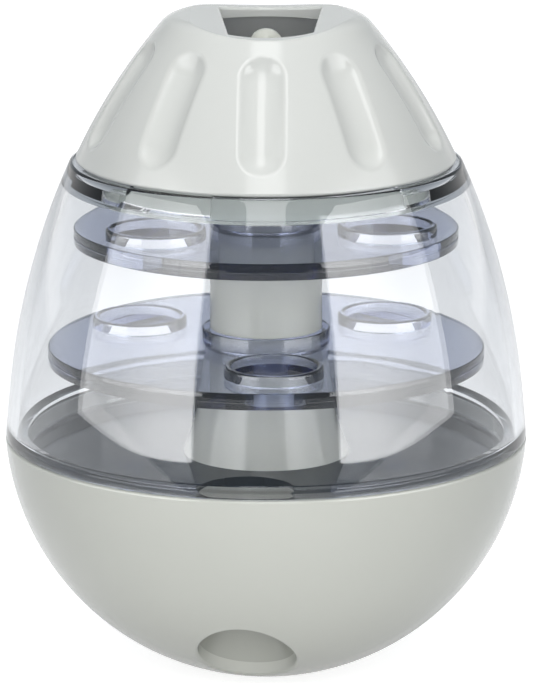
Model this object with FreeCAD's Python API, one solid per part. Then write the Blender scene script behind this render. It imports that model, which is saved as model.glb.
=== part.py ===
"""Wobble treat dispenser: a weighted egg that rights itself and drops treats.

Units are millimetres. +Z is up, and the origin is the centre of the small flat
under the bowl. Treats go in at the slot in the crown, fall through the round
holes of two clear shelves, and leave by the tube in the floor.
"""
import FreeCAD, Part
import math
import os

from FreeCAD import Vector

# Bowl
BOWL_R = 64.1            # outer radius of the ball-shaped bowl
FOOT_R = 8.0             # small flat under the bowl
BOWL_WALL = 3.0
SEAM_Z = 59.5            # top edge of the bowl, where the clear wall starts
RIM_LIP = 2.8            # thickness of the bowl's wall at its top edge
RIM_EDGE = 0.6           # rounding of the outer edges at both seams
FLOOR_Z = 55.1           # top of the clear floor
FLOOR_T = 2.5
LEDGE_W = 4.0            # width of the ledge that carries the floor
LEDGE_T = 2.0
LEDGE_ROOT = 6.5         # height of the ledge's sloping root

# Clear wall, as slopes from the vertical and radii of its meridian
WALL_T = 2.8
WALL_SLOPE_SEAM = 4.45
WALL_SLOPE_KNEE = 6.27
WALL_SLOPE_RIM = 24.64
WALL_R_LOW = 427.0
WALL_R_HIGH = 177.7

# Cap and crown
CAP_STEP = 0.9           # how far the cap stands inside the clear wall's edge
CAP_R = 151.2            # meridian radius of the cap
CAP_WALL = 3.2
CAP_TOP_Z = 163.3
CREST_R = 6.0            # rounding of the crown
CROWN_T = 4.2            # crown plate before it is scooped
SCOOP_R = 84.0           # hollow of the crown, a long cylinder from front to back
SCOOP_DEPTH = 2.0
SLOT_R = 21.0            # ends of the fill slot
SLOT_FRONT_W = 19.6      # width of the fill slot at its front
SLOT_BACK_W = 25.6
SLOT_SHIFT = 1.1         # the slot stands this far to the right of the axis
SLOT_EDGE = 0.7          # rounding of the slot's upper edge
SLOT_CORNER = 0.8        # rounding of the slot's corners in plan
CAP_TURN = -1.5          # turn of the cap's grip flutes

# Grip flutes
FLUTE_COUNT = 10
FLUTE_W = 11.2
FLUTE_DEPTH = 2.0
FLUTE_LOW_Z = 132.6      # lowest point of a flute on the cap
FLUTE_HIGH_Z = 158.0
FLUTE_EDGE = 2.2         # rounding of a flute's edge

# Bayonet locks, one at the cap and one at the bowl
LUG_COUNT = 3
LUG_FIRST = 88.5         # direction of the first lug
LUG_DEG = 27.4
LUG_H = 2.3
LUG_ROOT = 1.0           # how far a lug sinks into its ring
LOCK_TURN = 31.0         # turn that frees a lock
LOCK_END_GAP = 0.6       # free angle at each end of a lug's track
LOCK_GAP = 0.3           # clearance of spigots and lugs
CAP_COLLAR_H = 6.3       # height of the clear wall's thick collar at the cap
CAP_FLANGE_H = 2.6       # height of that collar above the tracks of the cap's lugs
CAP_RING_T = 2.2         # wall of the lock ring
CAP_RING_H = 6.6         # depth of the lock ring below the cap's edge
CAP_RING_TOP = 5.0       # height of the ring's collar inside the cap
CAP_LUG_OUT = 1.3
CAP_FLANGE_IN = 0.1      # collar's bore below the wall's own bore at the edge
SPIGOT_T = 2.4           # wall of the spigot that enters the bowl
INNER_EDGE_H = 2.2       # height of the spigot's inner edge above the seam
INNER_STEP_H = 0.8       # rise of the step from there to the wall
SEAM_GAP = 0.1           # gap between the clear wall and the bowl's edge
SPIGOT_FOOT_GAP = 0.8    # from the spigot to the floor
BASE_LUG_OUT = 1.3
BASE_LUG_H = 1.7

# Column
COLUMN_FOOT_R = 20.5
COLUMN_FLARE_R = 16.5
COLUMN_FLARE_Z = 67.1
COLUMN_NECK_R = 14.9     # top of the flare, just under the lower shelf
COLUMN_R = 13.7
COLUMN_UPPER_R = 11.6    # above the upper shelf
COLUMN_WALL = 2.0
COLUMN_WEB_T = 3.0
COLUMN_TOP_Z = 128.0
HEAD_TIP_R = 4.2
HEAD_TOP_Z = 159.8
HEAD_PLUG_H = 6.0
HEAD_SHOULDER = 3.0
HEAD_BEND_H = 9.0        # height of the bend in the head's sloping side
HEAD_BEND_SHARE = 0.3    # how much of the side's width is left at the bend

# Shelves
SHELF_T = 4.0
SHELF_EDGE_GROOVE = 0.35
SHELF_BEAD_H = 1.7
SHELF_EDGE_ROUND = 0.3
SHELF_HUB_H = 3.6        # height of the hub collar over the plate
SHELF_HUB_W = 1.8
SHELF_SEAT_GAP = 0.3
SHELF_BORE_GAP = 0.08
HOLE_COUNT = 3
HOLE_R = 10.2
HOLE_RIM_W = 1.6
HOLE_RIM_H = 2.6         # height of a hole's rim over the plate
HOLE_RIM_ROUND = 0.6
LOWER_SHELF = dict(top=82.6, wall_gap=5.34, pitch=35.4, first=33.0, shaft=COLUMN_R)
UPPER_SHELF = dict(top=112.0, wall_gap=4.33, pitch=31.8, first=95.0, shaft=COLUMN_UPPER_R)

# Exit tube
EXIT_R = 11.8            # bore of the tube and of the hole in the bowl
EXIT_INSET = 26.7        # from the side of the bowl to the tube's centre line
EXIT_DIR = 263.0
EXIT_WALL = 1.6
EXIT_EDGE = 0.8          # rounding of the hole's edge in the bowl

# Counterweight and its screws, and the column's screw
WEIGHT_GAP = 1.6         # from the weight to the exit tube
WEIGHT_Z = 11.0
WEIGHT_T = 20.0
WEIGHT_CHAMFER = 1.0
PILLAR_R = 5.0
PILLAR_GAP = 0.8
PILOT_R = 1.5
PILOT_DEPTH = 16.0
BOSS_R = 3.6
BOSS_COUNT = 3
BOSS_FIRST = 30.0
SCREW_R = 1.5
SCREW_HEAD_R = 3.4
SCREW_HEAD_H = 2.4
SCREW_HEAD_ROUND = 0.8
SCREW_SOCKET_R = 1.3
SCREW_SOCKET_DEPTH = 1.4
SCREW_HOLE_GAP = 0.3
WEIGHT_SCREW_BITE = 5.0
COLUMN_SCREW_BITE = 12.0

# Worked out from the sizes above
BALL_Z = math.sqrt(BOWL_R ** 2 - FOOT_R ** 2)
EXIT_PITCH = BOWL_R - EXIT_INSET
WEIGHT_R = EXIT_PITCH - EXIT_R - EXIT_WALL - WEIGHT_GAP
BOSS_PITCH = (PILLAR_R + PILLAR_GAP + WEIGHT_R) / 2
BOWL_IN = BOWL_R - BOWL_WALL
SEAM_R = math.sqrt(BOWL_R ** 2 - (BALL_Z - SEAM_Z) ** 2)
RIM_IN = SEAM_R - RIM_LIP
LEDGE_Z = FLOOR_Z - FLOOR_T
LUG_AZIMUTHS = [LUG_FIRST + k * 360.0 / LUG_COUNT for k in range(LUG_COUNT)]
ENTRY_DEG = LUG_DEG + 2 * LOCK_END_GAP
TOUCH = 0.001            # points this near a surface lie on it
PAST = 1.0               # how far a cut runs past the face it opens
FRONT = 270.0            # direction that faces the front


def polar(radius, degrees, z=0.0):
    """Point at a radius and direction about the vertical axis."""
    angle = math.radians(degrees)
    return Vector(radius * math.cos(angle), radius * math.sin(angle), z)


def line(a, b):
    """Straight edge between two (radius, height) points of a meridian."""
    return Part.makeLine(Vector(a[0], 0, a[1]), Vector(b[0], 0, b[1]))


def arc(a, middle, b):
    """Arc through three (radius, height) points of a meridian."""
    points = [Vector(p[0], 0, p[1]) for p in (a, middle, b)]
    return Part.Arc(*points).toShape()


def chain(points):
    """Straight edges that join a list of meridian points."""
    return [line(a, b) for a, b in zip(points, points[1:])]


def spin(edges, degrees=360.0, start=0.0):
    """Solid from a closed meridian outline turned about the vertical axis."""
    face = Part.Face(Part.Wire(edges))
    solid = face.revolve(Vector(0, 0, 0), Vector(0, 0, 1), degrees)
    if start:
        solid.rotate(Vector(0, 0, 0), Vector(0, 0, 1), start)
    return solid


def ring(inner, outer, low, high, degrees=360.0, start=0.0):
    """Ring or ring sector with a rectangular section."""
    corners = [(inner, low), (outer, low), (outer, high), (inner, high), (inner, low)]
    return spin(chain(corners), degrees, start)


def rod(radius, low, high, place=Vector(0, 0, 0)):
    """Upright cylinder."""
    return Part.makeCylinder(radius, high - low, place + Vector(0, 0, low))


def on_circle(centre, radius, degrees):
    """Point of a meridian circle, at an angle above the horizontal."""
    angle = math.radians(degrees)
    return (centre[0] + radius * math.cos(angle), centre[1] + radius * math.sin(angle))


def ball_r(radius, z):
    """Radius of a level section through a ball about the bowl's centre."""
    return math.sqrt(radius ** 2 - (z - BALL_Z) ** 2)


def ball_z(radius, r):
    """Height of the lower side of that ball at a distance from the axis."""
    return BALL_Z - math.sqrt(radius ** 2 - r ** 2)


def on_edge(edge, test):
    """Whether a test holds at five points along an edge."""
    first, last = edge.ParameterRange
    return all(test(edge.valueAt(first + (last - first) * k / 4)) for k in range(5))


def round_edges(shape, size, test):
    """Round the edges on which a test of their points holds."""
    return shape.makeFillet(size, [e for e in shape.Edges if on_edge(e, test)])


def at_ring(radius, z, place=Vector(0, 0, 0)):
    """Test for points on a level circle."""
    def test(p):
        away = math.hypot(p.x - place.x, p.y - place.y) - radius
        return abs(away) < TOUCH and abs(p.z - z) < TOUCH
    return test


def on_meridian(centre, radius):
    """Test for points on the surface that a meridian circle sweeps."""
    def test(p):
        away = math.hypot(math.hypot(p.x, p.y) - centre[0], p.z - centre[1]) - radius
        return abs(away) < TOUCH
    return test


# Meridian circles of the clear wall and the cap, each tangent to the last
LOW_C = (SEAM_R - WALL_R_LOW * math.cos(math.radians(WALL_SLOPE_SEAM)),
         SEAM_Z - WALL_R_LOW * math.sin(math.radians(WALL_SLOPE_SEAM)))
KNEE = on_circle(LOW_C, WALL_R_LOW, WALL_SLOPE_KNEE)
HIGH_C = on_circle(KNEE, -WALL_R_HIGH, WALL_SLOPE_KNEE)
RIM = on_circle(HIGH_C, WALL_R_HIGH, WALL_SLOPE_RIM)
RIM_Z = RIM[1]
CAP_Z = RIM_Z + LOCK_GAP
CAP_C = on_circle(RIM, -(CAP_STEP + CAP_R), WALL_SLOPE_RIM)


def circle_r(centre, radius, z):
    """Distance from the axis of a meridian circle at a height."""
    return centre[0] + math.sqrt(radius ** 2 - (z - centre[1]) ** 2)


def wall_outer_r(z):
    """Outer radius of the clear wall at a height."""
    if z < KNEE[1]:
        return circle_r(LOW_C, WALL_R_LOW, z)
    return circle_r(HIGH_C, WALL_R_HIGH, z)


def inner_wall_r(z):
    """Inner radius of the clear wall at a height."""
    if z < on_circle(LOW_C, WALL_R_LOW - WALL_T, WALL_SLOPE_KNEE)[1]:
        return circle_r(LOW_C, WALL_R_LOW - WALL_T, z)
    return circle_r(HIGH_C, WALL_R_HIGH - WALL_T, z)


def circle_arc(centre, radius, z_a, z_b):
    """Arc of a meridian circle between two heights."""
    z_m = (z_a + z_b) / 2
    a, m, b = [(circle_r(centre, radius, z), z) for z in (z_a, z_m, z_b)]
    return arc(a, m, b)


def ball_arc(radius, r_a, z_a, r_b, z_b):
    """Arc of a ball about the bowl's centre between two of its points."""
    angle_a = math.atan2(z_a - BALL_Z, r_a)
    angle_b = math.atan2(z_b - BALL_Z, r_b)
    middle = on_circle((0, BALL_Z), radius, math.degrees((angle_a + angle_b) / 2))
    return arc((r_a, z_a), middle, (r_b, z_b))


# Lock sizes that the mating pieces share
SPIGOT_OUT = RIM_IN - LOCK_GAP
SPIGOT_IN = SPIGOT_OUT - SPIGOT_T
SPIGOT_LOW = FLOOR_Z + SPIGOT_FOOT_GAP
BASE_LUG_R = SPIGOT_OUT + BASE_LUG_OUT
BASE_LUG_Z = SPIGOT_LOW
CAP_FLANGE_R = inner_wall_r(RIM_Z) - CAP_FLANGE_IN
CAP_FLANGE_Z = RIM_Z - CAP_FLANGE_H
CAP_RING_OUT = CAP_FLANGE_R - LOCK_GAP
CAP_RING_IN = CAP_RING_OUT - CAP_RING_T
CAP_LUG_R = CAP_RING_OUT + CAP_LUG_OUT
CAP_LUG_TOP = CAP_FLANGE_Z - LOCK_GAP


def entry_start(azimuth):
    """Direction where the gap that lets a lug in begins."""
    return azimuth + LOCK_TURN - ENTRY_DEG / 2


def exit_place():
    """Centre line of the exit tube."""
    return polar(EXIT_PITCH, EXIT_DIR)


def boss_places():
    """Places of the counterweight's screws."""
    return [polar(BOSS_PITCH, BOSS_FIRST + k * 360.0 / BOSS_COUNT) for k in range(BOSS_COUNT)]


def base_shell():
    """Opaque bowl with its floor ledge, screw pillar, bosses and lug tracks."""
    ledge_in = RIM_IN - LEDGE_W
    root_z = LEDGE_Z - LEDGE_ROOT
    root_r = ball_r(BOWL_IN, root_z)
    inner_low = BALL_Z - BOWL_IN
    edges = [line((0, 0), (FOOT_R, 0)),
             ball_arc(BOWL_R, FOOT_R, 0, SEAM_R, SEAM_Z)]
    edges += chain([(SEAM_R, SEAM_Z), (RIM_IN, SEAM_Z), (RIM_IN, LEDGE_Z), (ledge_in, LEDGE_Z),
                    (ledge_in, LEDGE_Z - LEDGE_T), (root_r, root_z)])
    edges += [ball_arc(BOWL_IN, root_r, root_z, 0, inner_low),
              line((0, inner_low), (0, 0))]
    shell = round_edges(spin(edges), RIM_EDGE, at_ring(SEAM_R, SEAM_Z))
    mid_wall = BOWL_WALL / 2
    pillar = rod(PILLAR_R, mid_wall, LEDGE_Z)
    pillar = pillar.cut(rod(PILOT_R, LEDGE_Z - PILOT_DEPTH, LEDGE_Z))
    shell = shell.fuse(pillar)
    for place in boss_places():
        root = ball_z(BOWL_IN, BOSS_PITCH) - mid_wall
        shell = shell.fuse(rod(BOSS_R, root, WEIGHT_Z, place))
    for place in boss_places():
        shell = shell.cut(rod(PILOT_R, WEIGHT_Z - WEIGHT_SCREW_BITE, WEIGHT_Z, place))
    hole = exit_place()
    shell = shell.cut(rod(EXIT_R, -PAST, LEDGE_Z, hole))
    outside = on_meridian((0, BALL_Z), BOWL_R)
    shell = round_edges(shell, EXIT_EDGE, lambda p: outside(p) and
                        abs(math.hypot(p.x - hole.x, p.y - hole.y) - EXIT_R) < TOUCH)
    track_r = BASE_LUG_R + LOCK_GAP
    track_low = BASE_LUG_Z - LOCK_GAP
    track_high = BASE_LUG_Z + BASE_LUG_H + LOCK_GAP
    for azimuth in LUG_AZIMUTHS:
        run = LOCK_TURN + ENTRY_DEG
        start = azimuth - ENTRY_DEG / 2
        shell = shell.cut(ring(RIM_IN - PAST, track_r, track_low, track_high, run, start))
        shell = shell.cut(ring(RIM_IN - PAST, track_r, track_low, SEAM_Z + PAST, ENTRY_DEG,
                               entry_start(azimuth)))
    return shell.removeSplitter()


def exit_tube():
    """Tube that leads treats from the floor to the hole in the bowl."""
    place = exit_place()
    tube = rod(EXIT_R + EXIT_WALL, 0, LEDGE_Z, place)
    tube = tube.common(Part.makeSphere(BOWL_IN, Vector(0, 0, BALL_Z)))
    tube = tube.cut(rod(EXIT_R, -PAST, FLOOR_Z, place))
    return tube


def counterweight():
    """Steel ring low in the bowl that brings the egg upright."""
    high = WEIGHT_Z + WEIGHT_T
    inner = PILLAR_R + PILLAR_GAP
    weight = spin(chain([(inner, WEIGHT_Z), (WEIGHT_R - WEIGHT_CHAMFER, WEIGHT_Z),
                         (WEIGHT_R, WEIGHT_Z + WEIGHT_CHAMFER), (WEIGHT_R, high - WEIGHT_CHAMFER),
                         (WEIGHT_R - WEIGHT_CHAMFER, high), (inner, high), (inner, WEIGHT_Z)]))
    for place in boss_places():
        weight = weight.cut(rod(SCREW_R + SCREW_HOLE_GAP, WEIGHT_Z - PAST, high + PAST, place))
    return weight


def screw(place, head_z, length):
    """Pan-head screw with a plain shank and a round drive recess."""
    body = rod(SCREW_R, head_z - length, head_z, place)
    head = rod(SCREW_HEAD_R, head_z, head_z + SCREW_HEAD_H, place)
    top = [e for e in head.Edges if abs(e.CenterOfMass.z - head_z - SCREW_HEAD_H) < TOUCH]
    head = head.makeFillet(SCREW_HEAD_ROUND, top)
    drive = rod(SCREW_SOCKET_R, head_z + SCREW_HEAD_H - SCREW_SOCKET_DEPTH,
                head_z + SCREW_HEAD_H + PAST, place)
    return body.fuse(head).cut(drive).removeSplitter()


def weight_screws():
    """Three screws that hold the counterweight on its bosses."""
    length = WEIGHT_T + WEIGHT_SCREW_BITE
    return Part.makeCompound([screw(p, WEIGHT_Z + WEIGHT_T, length) for p in boss_places()])


def floor_disc():
    """Clear floor of the treat chamber, with the hole of the exit tube."""
    disc = rod(RIM_IN - LOCK_GAP / 2, LEDGE_Z, FLOOR_Z)
    disc = disc.cut(rod(EXIT_R, LEDGE_Z - PAST, FLOOR_Z + PAST, exit_place()))
    disc = disc.cut(rod(SCREW_R + SCREW_HOLE_GAP, LEDGE_Z - PAST, FLOOR_Z + PAST))
    return disc


def column():
    """Hollow centre column: flared foot, seat for each shelf, and a screw web."""
    lower_seat = LOWER_SHELF["top"] - SHELF_T - SHELF_SEAT_GAP
    upper_seat = UPPER_SHELF["top"] - SHELF_T - SHELF_SEAT_GAP
    foot = (COLUMN_FOOT_R, FLOOR_Z)
    neck = (COLUMN_NECK_R, lower_seat)
    outer = [arc(foot, (COLUMN_FLARE_R, COLUMN_FLARE_Z), neck)]
    bore = COLUMN_UPPER_R - COLUMN_WALL
    wide_bore = COLUMN_R - COLUMN_WALL
    outer += chain([neck, (COLUMN_R, lower_seat), (COLUMN_R, upper_seat),
                    (COLUMN_UPPER_R, upper_seat), (COLUMN_UPPER_R, COLUMN_TOP_Z),
                    (bore, COLUMN_TOP_Z), (bore, upper_seat - COLUMN_WALL),
                    (wide_bore, upper_seat - 2 * COLUMN_WALL),
                    (wide_bore, FLOOR_Z + COLUMN_WEB_T), (0, FLOOR_Z + COLUMN_WEB_T),
                    (0, FLOOR_Z), foot])
    return spin(outer).cut(rod(SCREW_R + SCREW_HOLE_GAP, FLOOR_Z - PAST, COLUMN_TOP_Z))


def column_screw():
    """Long screw from inside the column into the bowl's pillar."""
    head_z = FLOOR_Z + COLUMN_WEB_T
    return screw(Vector(0, 0, 0), head_z, head_z - LEDGE_Z + COLUMN_SCREW_BITE)


def column_head():
    """Pointed plug that closes the column and parts the treats under the slot."""
    plug_r = COLUMN_UPPER_R - COLUMN_WALL
    plug_low = COLUMN_TOP_Z - HEAD_PLUG_H
    tip_centre = (0, HEAD_TOP_Z - HEAD_TIP_R)
    side = (COLUMN_UPPER_R, COLUMN_TOP_Z + HEAD_SHOULDER)
    waist = (HEAD_TIP_R, tip_centre[1])
    bend = (HEAD_TIP_R + (side[0] - waist[0]) * HEAD_BEND_SHARE, side[1] + HEAD_BEND_H)
    tip_mid = on_circle(tip_centre, HEAD_TIP_R, 90 / 2)
    edges = chain([(0, plug_low), (plug_r, plug_low), (plug_r, COLUMN_TOP_Z),
                   (COLUMN_UPPER_R, COLUMN_TOP_Z), side])
    edges += [arc(side, bend, waist),
              arc(waist, tip_mid, (0, HEAD_TOP_Z)),
              line((0, HEAD_TOP_Z), (0, plug_low))]
    return spin(edges)


def shelf(top, wall_gap, pitch, first, shaft):
    """Clear shelf with a beaded edge, a hub collar and three rimmed holes."""
    radius = inner_wall_r(top) - wall_gap
    bore = shaft + SHELF_BORE_GAP
    low = top - SHELF_T
    hub = bore + SHELF_HUB_W
    groove = radius - SHELF_EDGE_GROOVE
    outline = [(bore, low), (radius, low), (radius, low + SHELF_BEAD_H),
               (groove, low + SHELF_BEAD_H), (groove, top - SHELF_BEAD_H),
               (radius, top - SHELF_BEAD_H), (radius, top), (hub, top),
               (hub, top + SHELF_HUB_H), (bore, top + SHELF_HUB_H), (bore, low)]
    plate = spin(chain(outline))
    for z in (low, top):
        plate = round_edges(plate, SHELF_EDGE_ROUND, at_ring(radius, z))
    plate = round_edges(plate, SHELF_EDGE_ROUND, at_ring(hub, top + SHELF_HUB_H))
    for k in range(HOLE_COUNT):
        place = polar(pitch, first + k * 360.0 / HOLE_COUNT)
        rim_top = top + HOLE_RIM_H
        rim = rod(HOLE_R + HOLE_RIM_W, low, rim_top, place)
        rim = rim.cut(rod(HOLE_R, low, rim_top + PAST, place))
        rim = round_edges(rim, HOLE_RIM_ROUND, lambda p: abs(p.z - rim_top) < TOUCH)
        plate = plate.cut(rod(HOLE_R, low - PAST, rim_top + PAST, place)).fuse(rim)
    return plate.removeSplitter()


def clear_body():
    """Clear wall with its spigot and lugs below and its collar and lug tracks above."""
    inner_knee_z = on_circle(LOW_C, WALL_R_LOW - WALL_T, WALL_SLOPE_KNEE)[1]
    edge_z = SEAM_Z + INNER_EDGE_H
    step_z = edge_z + INNER_STEP_H
    low_z = SEAM_Z + SEAM_GAP
    edges = chain([(SPIGOT_IN, SPIGOT_LOW), (SPIGOT_OUT, SPIGOT_LOW), (SPIGOT_OUT, low_z),
                   (wall_outer_r(low_z), low_z)])
    edges += [circle_arc(LOW_C, WALL_R_LOW, low_z, KNEE[1]),
              circle_arc(HIGH_C, WALL_R_HIGH, KNEE[1], RIM_Z)]
    collar_z = RIM_Z - CAP_COLLAR_H
    edges += chain([(RIM[0], RIM_Z), (CAP_FLANGE_R, RIM_Z), (CAP_FLANGE_R, collar_z),
                    (inner_wall_r(collar_z), collar_z)])
    edges += [circle_arc(HIGH_C, WALL_R_HIGH - WALL_T, collar_z, inner_knee_z),
              circle_arc(LOW_C, WALL_R_LOW - WALL_T, inner_knee_z, step_z)]
    edges += chain([(inner_wall_r(step_z), step_z), (SPIGOT_IN, edge_z), (SPIGOT_IN, SPIGOT_LOW)])
    body = round_edges(spin(edges), RIM_EDGE, at_ring(wall_outer_r(low_z), low_z))
    body = round_edges(body, RIM_EDGE, at_ring(RIM[0], RIM_Z))
    for azimuth in LUG_AZIMUTHS:
        lug = ring(SPIGOT_OUT - LUG_ROOT, BASE_LUG_R, BASE_LUG_Z, BASE_LUG_Z + BASE_LUG_H, LUG_DEG,
                   azimuth - LUG_DEG / 2)
        body = body.fuse(lug)
    track_r = CAP_LUG_R + LOCK_GAP
    track_low = CAP_LUG_TOP - LUG_H - LOCK_GAP
    for azimuth in LUG_AZIMUTHS:
        body = body.cut(ring(CAP_FLANGE_R - PAST, track_r, track_low, CAP_FLANGE_Z,
                             LOCK_TURN + ENTRY_DEG, azimuth - ENTRY_DEG / 2))
        body = body.cut(ring(CAP_FLANGE_R - PAST, track_r, track_low, RIM_Z + PAST, ENTRY_DEG,
                             entry_start(azimuth)))
    return body.removeSplitter()


def flute_tool():
    """Rounded groove along the front meridian of the cap."""
    cut_r = (FLUTE_W ** 2 / 4 + FLUTE_DEPTH ** 2) / (2 * FLUTE_DEPTH)
    path_r = CAP_R + cut_r - FLUTE_DEPTH
    half = FLUTE_W / 2
    low = math.asin((FLUTE_LOW_Z - CAP_C[1]) / CAP_R) + half / CAP_R
    high = math.asin((FLUTE_HIGH_Z - CAP_C[1]) / CAP_R) - half / CAP_R
    centre = Vector(CAP_C[0], 0, CAP_C[1])
    start = Vector(CAP_C[0] + path_r * math.cos(low), 0, CAP_C[1] + path_r * math.sin(low))
    along = Vector(-math.sin(low), 0, math.cos(low))
    circle = Part.Face(Part.Wire(Part.makeCircle(cut_r, start, along)))
    tool = circle.revolve(centre, Vector(0, -1, 0), math.degrees(high - low))
    end = Vector(CAP_C[0] + path_r * math.cos(high), 0, CAP_C[1] + path_r * math.sin(high))
    return tool.fuse(Part.makeSphere(cut_r, start)).fuse(Part.makeSphere(cut_r, end))


def slot_outline(low, high):
    """Fill slot: a round plan with two straight sides that spread to the back."""
    front, back = SLOT_FRONT_W / 2, SLOT_BACK_W / 2
    reach = 2 * SLOT_R
    spread = (back - front) / (2 * SLOT_R)
    middle = (front + back) / 2
    corners = [Vector(SLOT_SHIFT - middle + spread * reach, -reach, low),
               Vector(SLOT_SHIFT + middle - spread * reach, -reach, low),
               Vector(SLOT_SHIFT + middle + spread * reach, reach, low),
               Vector(SLOT_SHIFT - middle - spread * reach, reach, low)]
    sides = Part.Face(Part.makePolygon(corners + corners[:1]))
    prism = sides.extrude(Vector(0, 0, high - low)).common(rod(SLOT_R, low, high))
    upright = [e for e in prism.Edges if e.BoundBox.ZLength > high - low - TOUCH]
    return prism.makeFillet(SLOT_CORNER, upright)


def cap():
    """Opaque cap with grip flutes, a scooped crown and the fill slot."""
    crest_z = CAP_TOP_Z - CREST_R
    crest_r = CAP_C[0] + math.sqrt((CAP_R - CREST_R) ** 2 - (crest_z - CAP_C[1]) ** 2)
    lean = math.degrees(math.atan2(crest_z - CAP_C[1], crest_r - CAP_C[0]))
    joint = on_circle(CAP_C, CAP_R, lean)
    crest_mid = on_circle((crest_r, crest_z), CREST_R, (lean + 90) / 2)
    low_r = circle_r(CAP_C, CAP_R, CAP_Z)
    in_r = CAP_R - CAP_WALL
    roof_z = CAP_TOP_Z - CROWN_T
    edges = [circle_arc(CAP_C, CAP_R, CAP_Z, joint[1]),
             arc(joint, crest_mid, (crest_r, CAP_TOP_Z))]
    edges += chain([(crest_r, CAP_TOP_Z), (0, CAP_TOP_Z), (0, roof_z),
                    (circle_r(CAP_C, in_r, roof_z), roof_z)])
    edges += [circle_arc(CAP_C, in_r, roof_z, CAP_Z),
              line((circle_r(CAP_C, in_r, CAP_Z), CAP_Z), (low_r, CAP_Z))]
    shell = spin(edges)
    tool = flute_tool()
    for k in range(FLUTE_COUNT):
        cutter = tool.copy()
        cutter.rotate(Vector(0, 0, 0), Vector(0, 0, 1), FRONT + CAP_TURN + k * 360.0 / FLUTE_COUNT)
        shell = shell.cut(cutter)
    outside = on_meridian(CAP_C, CAP_R)
    shell = round_edges(shell, FLUTE_EDGE, lambda p: outside(p) and
                        FLUTE_LOW_Z - PAST < p.z < FLUTE_HIGH_Z + PAST)
    shell = round_edges(shell, RIM_EDGE, at_ring(low_r, CAP_Z))
    trough_z = CAP_TOP_Z - SCOOP_DEPTH + SCOOP_R
    trough = Part.makeCylinder(SCOOP_R, 4 * SLOT_R, Vector(0, -2 * SLOT_R, trough_z),
                               Vector(0, 1, 0))
    shell = shell.cut(trough)
    shell = shell.cut(slot_outline(roof_z - PAST, CAP_TOP_Z + PAST))
    return round_edges(shell, SLOT_EDGE, lambda p: math.hypot(p.x, p.y) < SLOT_R + TOUCH and
                       abs(math.hypot(p.x, p.z - trough_z) - SCOOP_R) < TOUCH)


def lock_ring():
    """Ring under the cap that enters the clear wall and carries the lock's lugs."""
    low = CAP_Z - CAP_RING_H
    high = CAP_Z + CAP_RING_TOP
    collar_low = circle_r(CAP_C, CAP_R - CAP_WALL, CAP_Z)
    collar_high = circle_r(CAP_C, CAP_R - CAP_WALL, high)
    edges = chain([(CAP_RING_IN, low), (CAP_RING_OUT, low), (CAP_RING_OUT, CAP_Z),
                   (collar_low, CAP_Z)])
    edges += [circle_arc(CAP_C, CAP_R - CAP_WALL, CAP_Z, high)]
    edges += chain([(collar_high, high), (collar_high - CAP_RING_T, high), (CAP_RING_IN, CAP_Z),
                    (CAP_RING_IN, low)])
    body = spin(edges)
    for azimuth in LUG_AZIMUTHS:
        lug = ring(CAP_RING_OUT - LUG_ROOT, CAP_LUG_R, CAP_LUG_TOP - LUG_H, CAP_LUG_TOP, LUG_DEG,
                   azimuth - LUG_DEG / 2)
        body = body.fuse(lug)
    return body.removeSplitter()


PARTS = {
    "base_shell": base_shell,
    "exit_tube": exit_tube,
    "counterweight": counterweight,
    "weight_screws": weight_screws,
    "floor_disc": floor_disc,
    "centre_column": column,
    "column_screw": column_screw,
    "column_head": column_head,
    "lower_shelf": lambda: shelf(**LOWER_SHELF),
    "upper_shelf": lambda: shelf(**UPPER_SHELF),
    "clear_body": clear_body,
    "cap": cap,
    "lock_ring": lock_ring,
}

os.makedirs("parts", exist_ok=True)
for name, make in PARTS.items():
    shape = make()
    shape.exportStep(f"parts/{name}.step")
    print(f"{name}: {len(shape.Solids)} solid(s), {shape.Volume:.0f} mm3, valid {shape.isValid()}")
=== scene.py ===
"""Looks of the wobble treat dispenser, a clear egg with an opaque bowl and cap."""

import math

import bmesh
import bpy
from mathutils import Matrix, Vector


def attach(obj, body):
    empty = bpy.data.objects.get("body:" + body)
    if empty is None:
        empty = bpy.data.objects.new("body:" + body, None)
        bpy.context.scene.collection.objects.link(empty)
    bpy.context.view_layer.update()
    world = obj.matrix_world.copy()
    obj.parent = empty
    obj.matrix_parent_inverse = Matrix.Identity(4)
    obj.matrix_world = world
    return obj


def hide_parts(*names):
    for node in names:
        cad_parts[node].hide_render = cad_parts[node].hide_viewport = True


bl_info = {
    "name": "Wobble treat dispenser",
    "version": (1, 0, 0),
    "blender": (4, 5, 0),
    "location": "View3D > Sidebar > Treat egg",
    "description": "Finishes the parts of a weighted treat toy and sets up its studio",
    "category": "Object",
}

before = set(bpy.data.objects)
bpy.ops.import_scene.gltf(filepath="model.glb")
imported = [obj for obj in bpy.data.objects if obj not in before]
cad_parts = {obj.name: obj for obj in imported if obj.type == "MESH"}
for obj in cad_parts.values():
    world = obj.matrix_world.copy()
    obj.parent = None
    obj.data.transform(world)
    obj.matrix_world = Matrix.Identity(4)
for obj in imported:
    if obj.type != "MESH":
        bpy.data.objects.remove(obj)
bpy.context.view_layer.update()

WELD = 2e-6              # points this near are one point
LEVEL = 0.9999           # a face whose normal points up this much is flat
NEAR = 5 * WELD          # an edge this near to a ring belongs to it
SHARP = math.radians(32.0)   # edges bent more than this stay sharp
FULL = 2 * math.pi
SLACK = 1e-6             # slack when facets are counted
LUG_COUNT = 3
HOLE_COUNT = 3           # treat holes in a shelf
HOLE_FACETS = 72
SCREW_FACETS = 24
EXIT_FACETS = 96
MIX_FIRST, MIX_SECOND, MIX_RESULT = 6, 7, 2   # colour sockets of a mix node
RING_SPREAD = 20.0       # a wave texture has this many units to a ring
ROOM_FRONT, ROOM_BACK = -0.35, 0.6   # how far back a direction points where the room brightens
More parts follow.
